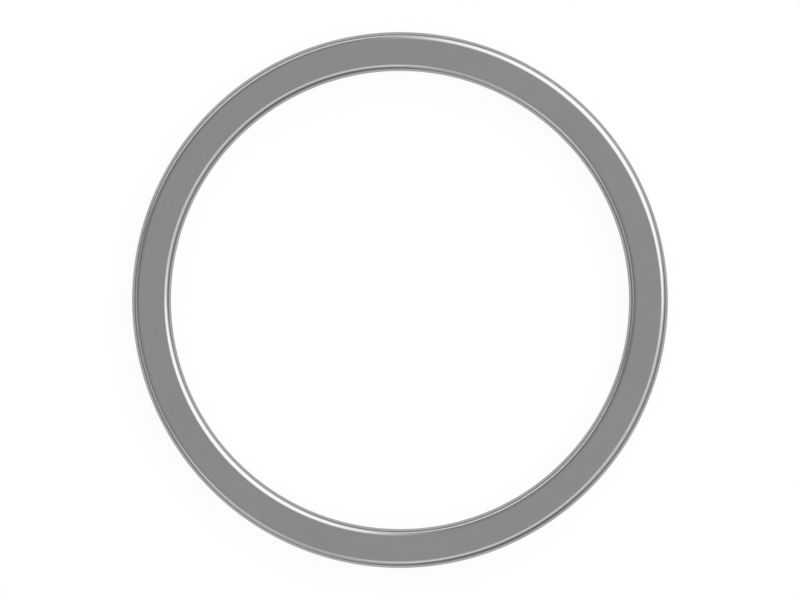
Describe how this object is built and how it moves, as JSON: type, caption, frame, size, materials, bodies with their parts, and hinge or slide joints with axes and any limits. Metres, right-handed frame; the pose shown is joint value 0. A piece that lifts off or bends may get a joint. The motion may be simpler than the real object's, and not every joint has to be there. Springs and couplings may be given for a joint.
{
  "type": "rectangular seal ring",
  "caption": "Closed metal seal ring of rectangular section with rounded edges, which seals on its flat faces in a recess round a shaft or spigot.",
  "frame": {"origin": "centre of the ring on its lower flat face", "axes": "+Z along the ring's axis, out of the upper flat face; the ring is the same all round, so +X is any radius"},
  "size_m": [0.0736, 0.0736, 0.004],
  "materials": {
    "ring_metal": "satin"
  },
  "bodies": {
    "root": {"seal_ring": "ring_metal"}
  },
  "joints": []
}
